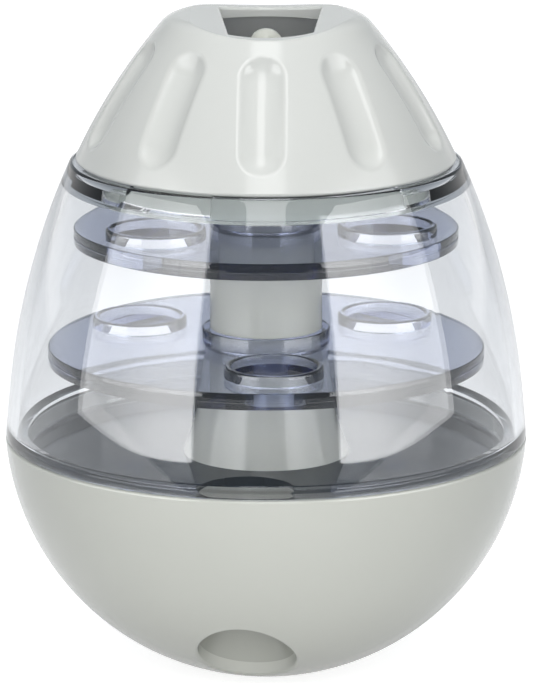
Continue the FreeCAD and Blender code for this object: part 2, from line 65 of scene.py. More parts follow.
BACKDROP_RISE = 0.3      # how far up a direction points where the backdrop is darkest
FADE_HALF = 0.2          # half of the share of a softbox's width over which it fades
CALM_LOW, CALM_HIGH = 0.25, 0.55   # share of a softbox's height over which it gets calmer
SENSOR_MM = 36.0


def linear(code):
    """Linear colour of an sRGB hex code."""
    parts = [int(code[i:i + 2], 16) / 255 for i in (0, 2, 4)]
    return [v / 12.92 if v <= 0.04045 else ((v + 0.055) / 1.055) ** 2.4 for v in parts]


def length(name, description, default):
    """Property of a length in metres."""
    return bpy.props.FloatProperty(name=name, description=description, default=default, min=0.0,
                                   precision=5, unit="LENGTH", subtype="DISTANCE")


def angle(name, description, degrees):
    """Property of an angle, given in degrees."""
    return bpy.props.FloatProperty(name=name, description=description,
                                   default=math.radians(degrees), unit="ROTATION",
                                   subtype="ANGLE")


def colour(name, description, code):
    """Property of a colour, given as an sRGB hex code."""
    return bpy.props.FloatVectorProperty(name=name, description=description, size=3, min=0.0,
                                         max=1.0, subtype="COLOR", default=linear(code))


def density(name, description, default):
    """Property of the light that a clear plastic takes in, per metre."""
    return bpy.props.FloatProperty(name=name, description=description, default=default, min=0.0)


def level(name, description, default):
    """Property of a radiance, where 1 is white."""
    return bpy.props.FloatProperty(name=name, description=description, default=default, min=0.0)


class TREAT_PG_wall(bpy.types.PropertyGroup):
    """Sizes of the clear wall of the chamber."""

    seam_height: length("Seam height", "Height of the seam between bowl and wall", 0.0595)
    seam_radius: length("Seam radius", "Outer radius at the seam", 0.06391)
    seam_gap: length("Seam gap", "Gap between the wall and the bowl's edge", 0.0001)
    thickness: length("Thickness", "Thickness of the wall", 0.0028)
    slope_seam: angle("Slope at the seam", "Inward lean of the wall at the seam", 4.45)
    slope_knee: angle("Slope at the knee", "Lean where the two curves of the wall meet", 6.27)
    slope_rim: angle("Slope at the rim", "Inward lean of the wall at its rim", 24.64)
    low_radius: length("Lower curve", "Radius of the wall's lower curve", 0.427)
    high_radius: length("Upper curve", "Radius of the wall's upper curve", 0.1777)
    edge: length("Edge rounding", "Rounding of the wall's outer edges", 0.0006)
    spigot_outer: length("Spigot radius", "Outer radius of the spigot in the bowl", 0.06081)
    spigot_wall: length("Spigot wall", "Wall of the spigot in the bowl", 0.0024)
    spigot_low: length("Spigot foot", "Height of the spigot's lower edge", 0.0559)
    edge_height: length("Inner edge", "Height of the spigot's inner edge above the seam", 0.0022)
    step_height: length("Inner step", "Rise of the step from there to the wall", 0.0008)
    collar_inset: length("Collar inset", "How far the collar's bore stands inside the wall's", 0.0001)
    flange_height: length("Flange height", "Height of the collar above its tracks", 0.0026)
    track_depth: length("Track depth", "Depth of the tracks in the collar", 0.0013)
    track_height: length("Track height", "Height of the tracks in the collar", 0.0029)
    collar_height: length("Collar height", "Height of the thick collar at the rim", 0.0063)
    lug_first: angle("First lug", "Direction of the first lug about the axis", 88.5)
    lug_width: angle("Lug width", "Width of a lug about the axis", 27.4)
    lug_out: length("Lug reach", "How far a lower lug stands out", 0.0013)
    lug_height: length("Lug height", "Height of a lower lug", 0.0017)
    gate_width: angle("Gate width", "Width of a gap that lets a lug in", 28.6)
    lock_turn: angle("Lock turn", "Turn that frees the lock", 31.0)
    facet: angle("Facet", "Widest facet of a turned surface", 1.5)


class TREAT_PG_shelves(bpy.types.PropertyGroup):
    """Sizes of the two clear shelves and the chamber's floor, which is coloured dark to paint the
    shade of the bowl under it.
    """

    plate: length("Plate", "Thickness of a shelf's plate", 0.004)
    groove: length("Groove", "Depth of the groove in a shelf's edge", 0.00035)
    bead: length("Bead", "Height of the beads beside the groove", 0.0017)
    edge_round: length("Edge rounding", "Rounding of the beads and the collar", 0.0003)
    hub_height: length("Collar height", "Height of the hub collar over the plate", 0.0036)
    hub_width: length("Collar wall", "Wall of the hub collar", 0.0018)
    bore_gap: length("Bore gap", "Clearance of a shelf's bore on the column", 0.00008)
    hole_radius: length("Hole radius", "Radius of a treat hole", 0.0102)
    rim_width: length("Rim width", "Width of a treat hole's rim", 0.0016)
    rim_height: length("Rim height", "Height of a treat hole's rim over the plate", 0.0026)
    rim_round: length("Rim rounding", "Rounding of a treat hole's rim", 0.0006)
    lower_top: length("Lower shelf", "Height of the lower shelf's plate", 0.0826)
    lower_radius: length("Lower radius", "Outer radius of the lower shelf", 0.0532)
    lower_pitch: length("Lower pitch", "Distance of the lower holes from the axis", 0.0354)
    lower_shaft: length("Lower shaft", "Radius of the column in the lower shelf", 0.0137)
    lower_first: angle("Lower holes", "Direction of the lower shelf's first hole", 33.0)
    upper_top: length("Upper shelf", "Height of the upper shelf's plate", 0.112)
    upper_radius: length("Upper radius", "Outer radius of the upper shelf", 0.0466)
    upper_pitch: length("Upper pitch", "Distance of the upper holes from the axis", 0.0318)
    upper_shaft: length("Upper shaft", "Radius of the column in the upper shelf", 0.0116)
    upper_first: angle("Upper holes", "Direction of the upper shelf's first hole", 95.0)
    floor_top: length("Floor", "Height of the chamber floor's top", 0.0551)
    floor_thickness: length("Floor thickness", "Thickness of the chamber's floor", 0.0025)
    floor_radius: length("Floor radius", "Radius of the chamber's floor", 0.06102)
    exit_radius: length("Exit radius", "Bore of the exit tube", 0.0118)
    exit_pitch: length("Exit pitch", "Distance of the exit tube from the axis", 0.0374)
    exit_direction: angle("Exit direction", "Direction of the exit tube", 263.0)
    screw_radius: length("Screw hole", "Radius of the screw hole in the floor", 0.0018)


class TREAT_PG_column(bpy.types.PropertyGroup):
    """Sizes of the centre column and its head."""

    foot_radius: length("Foot radius", "Radius of the column's foot", 0.0205)
    flare_radius: length("Flare radius", "Radius in the middle of the flare", 0.0165)
    flare_height: length("Flare height", "Height of the middle of the flare", 0.0671)
    neck_radius: length("Neck radius", "Radius at the top of the flare", 0.0149)
    seat_gap: length("Seat gap", "Clearance of a shelf over its seat", 0.0003)
    wall: length("Wall", "Wall of the column", 0.002)
    web: length("Web", "Thickness of the web at the column's foot", 0.003)
    top: length("Top", "Height of the column's top", 0.128)
    tip_radius: length("Tip radius", "Radius of the head's tip", 0.0042)
    head_top: length("Head height", "Height of the head's tip", 0.1598)
    plug: length("Plug", "How far the head's plug enters the column", 0.006)
    shoulder: length("Shoulder", "Height of the head's straight shoulder", 0.003)
    bend_height: length("Bend height", "Height of the bend in the head's side", 0.009)
    bend_share: bpy.props.FloatProperty(
        name="Bend share", description="Share of the side's width left at the bend", default=0.3,
        min=0.0, max=1.0, subtype="FACTOR")


class TREAT_PG_colours(bpy.types.PropertyGroup):
    """Colours of the dispenser's plastics and of its studio."""

    bowl: colour("Bowl", "Grey of the bowl", "c1c2ba")
    cap: colour("Cap", "Grey of the cap", "c4c5c1")
    column: colour("Column", "Grey of the column", "c1c2b9")
    # Painted shade: the lock ring is the cap's ABS, given a darker grey for the shade that the cap
    # and wall cast on it.
    ring: colour("Lock ring", "Grey of the lock ring in the cap's shade", "a8ada8")
    # Painted shade: the exit tube is the bowl's ABS, given a darker grey for the shade inside the
    # bowl.
    tube: colour("Exit tube", "Grey of the exit tube in the bowl's shade", "abaca4")
    wall: colour("Clear wall", "Tint of the clear wall in its depth", "8199b4")
    wall_density: density("Wall density", "How fast the wall's plastic takes in light", 28.0)
    shelf: colour("Clear shelf", "Tint of the shelves in their depth", "7f95c8")
    shelf_density: density("Shelf density", "How fast a shelf's plastic takes in light", 150.0)
    # Painted shade: the floor's dark body colour stands for the shade inside the bowl, seen through
    # the clear floor.
    floor: colour("Smoked floor", "Body colour of the chamber's floor", "161f26")
    room: colour("Room", "Cool shade of the room at the camera's side", "e4f2ff")
    paper: colour("Paper", "Paper under the dispenser", "cfcfcf")


class TREAT_PG_studio(bpy.types.PropertyGroup):
    """Sizes and levels of the studio."""

    distance: length("Camera distance", "Distance from the camera to its aim", 1.1427)
    elevation: angle("Camera elevation", "Angle of the camera over the horizon", 13.77)
    aim: length("Aim", "Height of the point that the camera looks at", 0.0822)
    lens: bpy.props.FloatProperty(name="Lens", description="Focal length in millimetres",
                                  default=246.15, min=1.0, subtype="DISTANCE_CAMERA")
    shift: bpy.props.FloatProperty(name="Shift", description="Sideways shift of the picture",
                                   default=0.0007)
    box_distance: length("Softbox distance", "Distance of a softbox from the axis", 0.75)
    box_azimuth: angle("Softbox direction", "Direction of a softbox beside the camera", 60.0)
    box_width: length("Softbox width", "Width of a softbox", 0.82)
    box_height: length("Softbox height", "Height of a softbox", 0.60)
    box_middle: length("Softbox middle", "Height of a softbox's middle", 0.305)
    box_bright: level("Softbox bright", "Radiance at a softbox's inner foot", 4.8)
    box_calm: level("Softbox calm", "Share of the radiance left at a softbox's top", 0.72)
    box_fade: level("Softbox fade", "Share of the radiance left at a softbox's outer side", 0.6)
    front_height: length("Front fill height", "Height of the soft fill at the camera", 0.35)
    front_distance: length("Front fill distance", "Distance of that fill from the axis", 1.3)
    front_level: level("Front fill level", "Radiance of that fill", 5.3)
    top_height: length("Top fill height", "Height of the soft fill over the cap", 1.05)
    top_level: level("Top fill level", "Radiance of that fill", 3.0)
    fill_size: length("Fill size", "Size of the two soft fills", 0.8)
    strip_aim: length("Strip aim", "Height of the point that the strip light faces", 0.145)
    strip_elevation: angle("Strip elevation", "Angle of the strip light over the cap", 55.0)
    strip_distance: length("Strip distance", "Distance of the strip light from the cap", 0.8)
    strip_width: length("Strip width", "Width of the strip light", 0.3)
    strip_length: length("Strip length", "Length of the strip light", 0.75)
    strip_level: level("Strip level", "Radiance of the strip light", 3.0)
    room_level: level("Room level", "Radiance of the room at the camera's side", 0.28)
    backdrop_high: level("Backdrop level", "Radiance of the backdrop's upper part", 0.3)
    paper_glow: level("Paper glow", "Light that the paper sends to the eye", 0.82)
    paper_dim: level("Paper through plastic", "Share of that light seen through plastic", 0.62)
    paper_front: length("Paper front", "How far the paper reaches to the camera", 0.5)
    paper_side: length("Paper size", "How far the paper reaches to the sides and back", 3.0)


def add_node(tree, kind, settings=(), links=()):
    """Adds a node, with its own settings and sockets by name, and links from other sockets."""
    node = tree.nodes.new(kind)
    for name, value in dict(settings).items():
        if hasattr(node, name) and name not in node.inputs:
            setattr(node, name, value)
        else:
            node.inputs[name].default_value = value
    for name, source in dict(links).items():
        tree.links.new(source, node.inputs[name])
    return node


def new_material(name):
    """Empty material with its output node."""
    material = bpy.data.materials.new(name)
    material.use_nodes = True
    material.node_tree.nodes.clear()
    return material, material.node_tree, add_node(material.node_tree, "ShaderNodeOutputMaterial")


def per_metre(millimetres):
    """Texture scale for a pattern of this size."""
    return 1000.0 / millimetres


def rgba(tint):
    """Colour with full alpha."""
    return (*tint[:3], 1.0)


def shade(tint, factor):
    """Colour made darker or lighter."""
    return rgba([min(1.0, v * factor) for v in tint])


def mixed(tree, factor, first, second):
    """Colour that a factor mixes from two colours."""
    mix = add_node(tree, "ShaderNodeMix", {"data_type": "RGBA"}, {"Factor": factor})
    mix.inputs[MIX_FIRST].default_value = first
    mix.inputs[MIX_SECOND].default_value = second
    return mix.outputs[MIX_RESULT]


def seen_rays(tree, *kinds):
    """Socket that is 1 for a ray of one of these kinds."""
    ray = add_node(tree, "ShaderNodeLightPath")
    total = ray.outputs[kinds[0]]
    for kind in kinds[1:]:
        either = add_node(tree, "ShaderNodeMath", {"operation": "MAXIMUM"})
        tree.links.new(total, either.inputs[0])
        tree.links.new(ray.outputs[kind], either.inputs[1])
        total = either.outputs[0]
    return total


def moulded_abs(name, tint):
    """ABS, injection moulded in a polished tool.

    It gives a calm, nearly even grey, a clear gloss that softens a little where the melt
    flowed, and a very faint orange peel in the highlights.
    """
    material, tree, output = new_material(name)
    place = add_node(tree, "ShaderNodeTexCoord").outputs["Object"]
    flow = add_node(tree, "ShaderNodeTexNoise", {"Scale": per_metre(38.0), "Detail": 3.0},
                    {"Vector": place})
    peel = add_node(tree, "ShaderNodeTexNoise", {"Scale": per_metre(1.1), "Detail": 2.0},
                    {"Vector": place})
    tone = mixed(tree, flow.outputs["Fac"], shade(tint, 0.965), shade(tint, 1.02))
    rough = add_node(tree, "ShaderNodeMapRange", {"To Min": 0.12, "To Max": 0.18},
                     {"Value": flow.outputs["Fac"]})
    bump = add_node(tree, "ShaderNodeBump", {"Strength": 0.05, "Distance": 0.0001},
                    {"Height": peel.outputs["Fac"]})
    shader = add_node(tree, "ShaderNodeBsdfPrincipled", {"IOR": 1.54},
                      {"Base Color": tone, "Roughness": rough.outputs["Result"],
                       "Normal": bump.outputs["Normal"]})
    tree.links.new(shader.outputs["BSDF"], output.inputs["Surface"])
    return material


def clear_styrene(name, tint, density):
    """Clear polystyrene, injection moulded and polished.

    It is glass-like and nearly colourless through a thin wall, and turns deep blue where
    the eye looks along a plate. Slow waves of the melt bend the reflections a little.
    """
    material, tree, output = new_material(name)
    place = add_node(tree, "ShaderNodeTexCoord").outputs["Object"]
    waves = add_node(tree, "ShaderNodeTexNoise", {"Scale": per_metre(24.0), "Detail": 1.0},
                     {"Vector": place})
    haze = add_node(tree, "ShaderNodeMapRange", {"To Min": 0.0, "To Max": 0.03},
                    {"Value": waves.outputs["Fac"]})
    bump = add_node(tree, "ShaderNodeBump", {"Strength": 0.06, "Distance": 0.0004},
                    {"Height": waves.outputs["Fac"]})
    shader = add_node(tree, "ShaderNodeBsdfPrincipled",
                      {"Base Color": (1.0, 1.0, 1.0, 1.0), "IOR": 1.59,
                       "Transmission Weight": 1.0},
                      {"Roughness": haze.outputs["Result"], "Normal": bump.outputs["Normal"]})
    passing = add_node(tree, "ShaderNodeBsdfTransparent", {"Color": (0.93, 0.93, 0.94, 1.0)})
    ray = add_node(tree, "ShaderNodeLightPath")
    surface = add_node(tree, "ShaderNodeMixShader", {}, {"Fac": ray.outputs["Is Shadow Ray"]})
    tree.links.new(shader.outputs["BSDF"], surface.inputs[1])
    tree.links.new(passing.outputs["BSDF"], surface.inputs[2])
    depth = add_node(tree, "ShaderNodeVolumeAbsorption",
                     {"Color": rgba(tint), "Density": density})
    tree.links.new(surface.outputs["Shader"], output.inputs["Surface"])
    tree.links.new(depth.outputs["Volume"], output.inputs["Volume"])
    return material


def shade_painted_styrene(name, tint):
    """Polystyrene floor, injection moulded and polished, in a dark blue-grey body colour.

    The dark blue-grey is painted shade: it stands for the shade inside the closed bowl under
    the clear floor. The floor lets hardly anything under it through, and mirrors the
    column and the wall at a flat angle.
    """
    material, tree, output = new_material(name)
    place = add_node(tree, "ShaderNodeTexCoord").outputs["Object"]
    cloud = add_node(tree, "ShaderNodeTexNoise", {"Scale": per_metre(30.0), "Detail": 2.0},
                     {"Vector": place})
    tone = mixed(tree, cloud.outputs["Fac"], shade(tint, 0.85), shade(tint, 1.1))
    rough = add_node(tree, "ShaderNodeMapRange", {"To Min": 0.03, "To Max": 0.08},
                     {"Value": cloud.outputs["Fac"]})
    shader = add_node(tree, "ShaderNodeBsdfPrincipled",
                      {"IOR": 1.42, "Transmission Weight": 0.05},
                      {"Base Color": tone, "Roughness": rough.outputs["Result"]})
    tree.links.new(shader.outputs["BSDF"], output.inputs["Surface"])
    return material


def turned_steel(name, pitch):
    """Mild steel, turned on a lathe and zinc plated.

    It is a cool, fairly dull metal with fine rings from the cutting tool about its axis.
    """
    material, tree, output = new_material(name)
    place = add_node(tree, "ShaderNodeTexCoord").outputs["Object"]
    rings = add_node(tree, "ShaderNodeTexWave",
                     {"wave_type": "RINGS", "rings_direction": "Z",
                      "Scale": per_metre(pitch) / RING_SPREAD, "Distortion": 0.4}, {"Vector": place})
    cloud = add_node(tree, "ShaderNodeTexNoise", {"Scale": per_metre(6.0), "Detail": 4.0},
                     {"Vector": place})
    tone = mixed(tree, cloud.outputs["Fac"], rgba(linear("a9acae")), rgba(linear("c6c8c8")))
    rough = add_node(tree, "ShaderNodeMapRange", {"To Min": 0.3, "To Max": 0.45},
                     {"Value": cloud.outputs["Fac"]})
    bump = add_node(tree, "ShaderNodeBump", {"Strength": 0.25, "Distance": 0.00005},
                    {"Height": rings.outputs["Fac"]})
    shader = add_node(tree, "ShaderNodeBsdfPrincipled", {"Metallic": 1.0},
                      {"Base Color": tone, "Roughness": rough.outputs["Result"],
                       "Normal": bump.outputs["Normal"]})
    tree.links.new(shader.outputs["BSDF"], output.inputs["Surface"])
    return material


def dress(node, material):
    """Gives a carried-over CAD node its finish."""
    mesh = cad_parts[node].data
    mesh.materials.clear()
    mesh.materials.append(material)


def outline(bm, points, direction=0.0, centre=(0.0, 0.0)):
    """Chain of edges through (radius, height) points in one direction about a centre."""
    c, s = math.cos(direction), math.sin(direction)
    verts = [bm.verts.new((centre[0] + r * c, centre[1] + r * s, z)) for r, z in points]
    edges = [bm.edges.new(pair) for pair in zip(verts, verts[1:])]
    return verts + edges


def facets(sweep, facet):
    """Number of facets of this width or less in a sweep."""
    return max(1, math.ceil(sweep / facet - SLACK))


def turn(bm, points, facet, start=0.0, sweep=FULL, centre=(0.0, 0.0)):
    """Turns a chain of points about an upright axis."""
    bmesh.ops.spin(bm, geom=outline(bm, points, start, centre), cent=(*centre, 0.0),
                   axis=(0.0, 0.0, 1.0), angle=sweep, use_merge=sweep == FULL,
                   steps=facets(sweep, facet))


def plate(bm, z, circles):
    """Flat face at a height between an outer circle and the circles of its holes."""
    edges = []
    for centre, radius, steps in circles:
        made = bmesh.ops.create_circle(bm, segments=steps, radius=radius)
        bmesh.ops.translate(bm, verts=made["verts"], vec=(*centre, z))
        edges += dict.fromkeys(e for v in made["verts"] for e in v.link_edges)
    bmesh.ops.triangle_fill(bm, edges=edges, use_beauty=True, normal=(0.0, 0.0, 1.0))


def close_up(bm):
    """Welds the seams, fills what is open and points the faces outwards."""
    bmesh.ops.remove_doubles(bm, verts=bm.verts, dist=WELD)
    open_edges = [e for e in bm.edges if e.is_boundary]
    if open_edges:
        bmesh.ops.holes_fill(bm, edges=open_edges, sides=0)
    bmesh.ops.recalc_face_normals(bm, faces=bm.faces)


def round_rings(bm, rings, size, segments=3):
    """Rounds the circular edges at the given (radius, height) places."""
    edges = [e for e in bm.edges
             if any(all(abs(math.hypot(v.co.x, v.co.y) - r) < NEAR and
                        abs(v.co.z - z) < NEAR for v in e.verts) for r, z in rings)]
    bmesh.ops.bevel(bm, geom=edges, offset=size, offset_type="OFFSET", segments=segments,
                    profile=0.5, affect="EDGES", material=-1, clamp_overlap=True)


def make_piece(bm, name, body, node, material):
    """Mesh object of a finished bmesh, which rides on a body and stands for a node."""
    if any(not e.is_manifold for e in bm.edges):
        raise RuntimeError(f"{name} is not closed")
    mesh = bpy.data.meshes.new(name)
    bm.to_mesh(mesh)
    bm.free()
    mesh.set_sharp_from_angle(angle=SHARP)
    mesh.polygons.foreach_set("use_smooth", [abs(p.normal.z) < LEVEL for p in mesh.polygons])
    mesh.materials.append(material)
    piece = bpy.data.objects.new(name, mesh)
    bpy.context.scene.collection.objects.link(piece)
    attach(piece, body)
    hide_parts(node)
    return piece


def on_circle(centre, radius, direction):
    """Point of a circle in a plane, such as that of (radius, height)."""
    return (centre[0] + radius * math.cos(direction), centre[1] + radius * math.sin(direction))


def across(centre, radius, z):
    """Distance from the axis of a circle's outer side at a height."""
    return centre[0] + math.sqrt(radius ** 2 - (z - centre[1]) ** 2)


def bow(a, middle, b, count=16):
    """Points of the arc through three points, without its last one."""
    ax, ay = a[0] - b[0], a[1] - b[1]
    mx, my = middle[0] - b[0], middle[1] - b[1]
    d = 2 * (ax * my - ay * mx)
    aa, mm = ax * ax + ay * ay, mx * mx + my * my
    centre = (b[0] + (my * aa - ay * mm) / d, b[1] + (ax * mm - mx * aa) / d)
    radius = math.hypot(a[0] - centre[0], a[1] - centre[1])
    first = math.atan2(a[1] - centre[1], a[0] - centre[0])
    last = math.atan2(b[1] - centre[1], b[0] - centre[0])
    last = first + (last - first + math.pi) % FULL - math.pi
    return [on_circle(centre, radius, first + (last - first) * k / count) for k in range(count)]


def quarter(before, corner, after):
    """Points of the quarter circle that rounds a square corner, between its two ends."""
    share = 1 - math.sqrt(0.5)
    middle = [c + (a - c) * share + (b - c) * share for a, c, b in zip(before, corner, after)]
    return bow(before, middle, after, 4)[1:]


class WallCurve:
    """Meridian of the clear wall, worked out from its sizes."""

    def __init__(self, s):
        self.size = s
        self.low_c = on_circle((s.seam_radius, s.seam_height), -s.low_radius, s.slope_seam)
        self.knee = on_circle(self.low_c, s.low_radius, s.slope_knee)
        self.high_c = on_circle(self.knee, -s.high_radius, s.slope_knee)
        self.rim = on_circle(self.high_c, s.high_radius, s.slope_rim)

    def radius(self, z, inset=0.0):
        """Radius of the wall at a height, at a depth under its outer surface."""
        knee_z = on_circle(self.low_c, self.size.low_radius - inset, self.size.slope_knee)[1]
        if z < knee_z:
            return across(self.low_c, self.size.low_radius - inset, z)
        return across(self.high_c, self.size.high_radius - inset, z)

    def run(self, low, high, inset=0.0, count=40):
        """Points of the wall between two heights, from low to high."""
        return [(self.radius(z, inset), z)
                for z in (low + (high - low) * k / count for k in range(count + 1))]


def clear_wall(sizes, material):
    """Clear wall with its spigot and lugs, and the collar with the tracks of the cap's lugs."""
    s = sizes
    curve = WallCurve(s)
    rim_r, rim_z = curve.rim
    low_z = s.seam_height + s.seam_gap
    edge_z = s.seam_height + s.edge_height
    step_z = edge_z + s.step_height
    spigot_in = s.spigot_outer - s.spigot_wall
    lug_r, lug_z = s.spigot_outer + s.lug_out, s.spigot_low + s.lug_height
    bore = curve.radius(rim_z, s.thickness) - s.collar_inset
    deep = bore + s.track_depth
    track_high = rim_z - s.flange_height
    track_low = track_high - s.track_height
    collar_z = rim_z - s.collar_height
    foot = [(spigot_in, s.spigot_low), (s.spigot_outer, s.spigot_low)]
    lug = [(lug_r, s.spigot_low), (lug_r, lug_z)]
    outside = [(s.spigot_outer, lug_z), (s.spigot_outer, low_z)] + curve.run(low_z, rim_z)
    inside = curve.run(step_z, collar_z, s.thickness)[::-1] + [(spigot_in, edge_z), foot[0]]
    cut = [(deep, track_high), (deep, track_low)]
    bores = {"whole": [(bore, rim_z), (bore, track_high)],
             "track": [(bore, rim_z), (bore, track_high)] + cut, "gate": cut}
    marks = []
    for k in range(LUG_COUNT):
        azimuth = s.lug_first + k * FULL / LUG_COUNT
        half_lug, half_gate = s.lug_width / 2, s.gate_width / 2
        gate = azimuth + s.lock_turn
        marks += [(azimuth - half_gate, "track", []), (azimuth - half_lug, "track", lug),
                  (azimuth + half_lug, "track", []), (gate - half_gate, "gate", []),
                  (gate + half_gate, "whole", [])]
    bm = bmesh.new()
    for (start, kind, low), (end, _, _) in zip(marks, marks[1:] + [(marks[0][0] + FULL, "", [])]):
        points = foot + low + outside + [(deep, rim_z)] + bores[kind]
        points += [(bore, track_low), (bore, collar_z)] + inside
        turn(bm, points, s.facet, start, end - start)
    close_up(bm)
    round_rings(bm, [(rim_r, rim_z), (curve.radius(low_z), low_z)], s.edge)
    return make_piece(bm, "clear_wall", "clear_body", "clear_body", material)


def shelf(name, body, sizes, top, radius, pitch, shaft, first, facet, material):
    """Clear shelf with a beaded edge, a hub collar and three rimmed holes."""
    s = sizes
    steps = facets(FULL, facet)
    bore = shaft + s.bore_gap
    hub = bore + s.hub_width
    low = top - s.plate
    groove = radius - s.groove
    rim_r, rim_z = s.hole_radius + s.rim_width, top + s.rim_height
    places = [on_circle((0.0, 0.0), pitch, first + k * FULL / HOLE_COUNT)
              for k in range(HOLE_COUNT)]
    centre = (0.0, 0.0)
    bm = bmesh.new()
    plate(bm, top, [(centre, radius, steps), (centre, hub, steps)] +
          [(p, rim_r, HOLE_FACETS) for p in places])
    plate(bm, low, [(centre, radius, steps), (centre, bore, steps)] +
          [(p, s.hole_radius, HOLE_FACETS) for p in places])
    start = math.pi / 2
    turn(bm, [(radius, top), (radius, top - s.bead), (groove, top - s.bead),
              (groove, low + s.bead), (radius, low + s.bead), (radius, low)], facet, start)
    turn(bm, [(hub, top), (hub, top + s.hub_height), (bore, top + s.hub_height), (bore, low)],
         facet, start)
    side_z = rim_z - s.rim_round
    outer = [(rim_r, side_z), (rim_r, rim_z), (rim_r - s.rim_round, rim_z)]
    inner = [(s.hole_radius + s.rim_round, rim_z), (s.hole_radius, rim_z),
             (s.hole_radius, side_z)]
    rings = [(rim_r, top), outer[0], *quarter(*outer), outer[2]]
    rings += [inner[0], *quarter(*inner), inner[2], (s.hole_radius, low)]
    for p in places:
        turn(bm, rings, FULL / HOLE_FACETS, start, FULL, p)
    close_up(bm)
    round_rings(bm, [(radius, top), (radius, low), (hub, top + s.hub_height)], s.edge_round, 2)
    return make_piece(bm, name, body, name.replace("clear_", ""), material)


def chamber_floor(sizes, facet, material):
    """Floor with the hole of the exit tube and of the column's screw, coloured dark to paint the
    shade of the bowl under it.
    """
    s = sizes
    steps = facets(FULL, facet)
    exit_at = (s.exit_pitch * math.cos(s.exit_direction), s.exit_pitch * math.sin(s.exit_direction))
    low = s.floor_top - s.floor_thickness
    holes = [((0.0, 0.0), s.floor_radius, steps), ((0.0, 0.0), s.screw_radius, SCREW_FACETS),
             (exit_at, s.exit_radius, EXIT_FACETS)]
    bm = bmesh.new()
    for z in (low, s.floor_top):
        plate(bm, z, holes)
    for centre, radius, count in holes:
        turn(bm, [(radius, low), (radius, s.floor_top)], FULL / count, math.pi / 2, FULL, centre)
    close_up(bm)
    return make_piece(bm, "clear_floor", "base", "floor_disc", material)


def column(sizes, shelves, facet, material):
    """Hollow centre column with its flared foot and a seat for each shelf."""
    s, t = sizes, shelves
    lower_seat = t.lower_top - t.plate - s.seat_gap
    upper_seat = t.upper_top - t.plate - s.seat_gap
    foot = (s.foot_radius, t.floor_top)
    neck = (s.neck_radius, lower_seat)
    bore, wide = t.upper_shaft - s.wall, t.lower_shaft - s.wall
    web = t.floor_top + s.web
    points = bow(foot, (s.flare_radius, s.flare_height), neck)
    points += [neck, (t.lower_shaft, lower_seat), (t.lower_shaft, upper_seat),
               (t.upper_shaft, upper_seat), (t.upper_shaft, s.top), (bore, s.top),
               (bore, upper_seat - s.wall), (wide, upper_seat - 2 * s.wall), (wide, web),
               (t.screw_radius, web), (t.screw_radius, t.floor_top), foot]
    bm = bmesh.new()
    turn(bm, points, facet)
    close_up(bm)
    return make_piece(bm, "column", "base", "centre_column", material)


def column_head(sizes, shelves, facet, material):
    """Pointed plug that closes the column under the fill slot."""
    s, t = sizes, shelves
    plug_r = t.upper_shaft - s.wall
    plug_z = s.top - s.plug
    side = (t.upper_shaft, s.top + s.shoulder)
    waist = (s.tip_radius, s.head_top - s.tip_radius)
    bend = (s.tip_radius + (side[0] - waist[0]) * s.bend_share, side[1] + s.bend_height)
    tip = (0.0, s.head_top)
    tip_mid = on_circle((0.0, waist[1]), s.tip_radius, math.pi / 4)
    points = [(0.0, plug_z), (plug_r, plug_z), (plug_r, s.top), (t.upper_shaft, s.top)]
    points += bow(side, bend, waist) + bow(waist, tip_mid, tip) + [tip]
    bm = bmesh.new()
    turn(bm, points, facet)
    close_up(bm)
    return make_piece(bm, "column_tip", "base", "column_head", material)


class TREAT_OT_clear_parts(bpy.types.Operator):
    """Makes the clear wall, both shelves and the chamber's floor"""

    bl_idname = "treat.clear_parts"
    bl_label = "Clear parts"

    def execute(self, context):
        scene = context.scene
        s, w = scene.treat_shelves, scene.treat_wall
        c = scene.treat_colours
        clear = clear_styrene("polystyrene_clear", c.wall, c.wall_density)
        tinted = clear_styrene("polystyrene_tinted", c.shelf, c.shelf_density)
        # The floor's dark colour is painted shade of the bowl under it.
        shade_painted_floor = shade_painted_styrene("polystyrene_shade_painted", c.floor)
        clear_wall(w, clear)
        shelf("clear_lower_shelf", "lower_shelf", s, s.lower_top, s.lower_radius, s.lower_pitch,
              s.lower_shaft, s.lower_first, w.facet, tinted)
        shelf("clear_upper_shelf", "upper_shelf", s, s.upper_top, s.upper_radius, s.upper_pitch,
              s.upper_shaft, s.upper_first, w.facet, tinted)
        chamber_floor(s, w.facet, shade_painted_floor)
        return {"FINISHED"}


class TREAT_OT_column(bpy.types.Operator):
    """Makes the centre column and its head"""

    bl_idname = "treat.column"
    bl_label = "Column"

    def execute(self, context):
        scene = context.scene
        finish = moulded_abs("abs_moulded_column", scene.treat_colours.column)
        column(scene.treat_column, scene.treat_shelves, scene.treat_wall.facet, finish)
        column_head(scene.treat_column, scene.treat_shelves, scene.treat_wall.facet, finish)
        return {"FINISHED"}


class TREAT_OT_shells(bpy.types.Operator):
    """Finishes the bowl, its exit tube, the cap and the lock ring, with darker greys on the tube and
    ring as painted shade
    """

    bl_idname = "treat.shells"
    bl_label = "Bowl and cap"

    def execute(self, context):
        colours = context.scene.treat_colours
        bowl = moulded_abs("abs_moulded_bowl", colours.bowl)
        cap = moulded_abs("abs_moulded_cap", colours.cap)
        # Painted shade: the ring's grey is darker than the cap's to stand in for the shade on it.
        ring = moulded_abs("abs_ring_painted_shade", colours.ring)
        # Painted shade: the tube's grey is darker than the bowl's to stand in for the shade inside
        # the bowl.
        tube = moulded_abs("abs_tube_painted_shade", colours.tube)
        for node, finish in (("base_shell", bowl), ("exit_tube", tube), ("cap", cap),
                             ("lock_ring", ring)):
            dress(node, finish)
        return {"FINISHED"}


class TREAT_OT_metal(bpy.types.Operator):
    """Finishes the counterweight and the screws"""

    bl_idname = "treat.metal"
    bl_label = "Weight and screws"

    def execute(self, context):
        dress("counterweight", turned_steel("steel_turned", 0.6))
        screws = turned_steel("steel_zinc_plated", 0.3)
        dress("weight_screws", screws)
        dress("column_screw", screws)
        return {"FINISHED"}


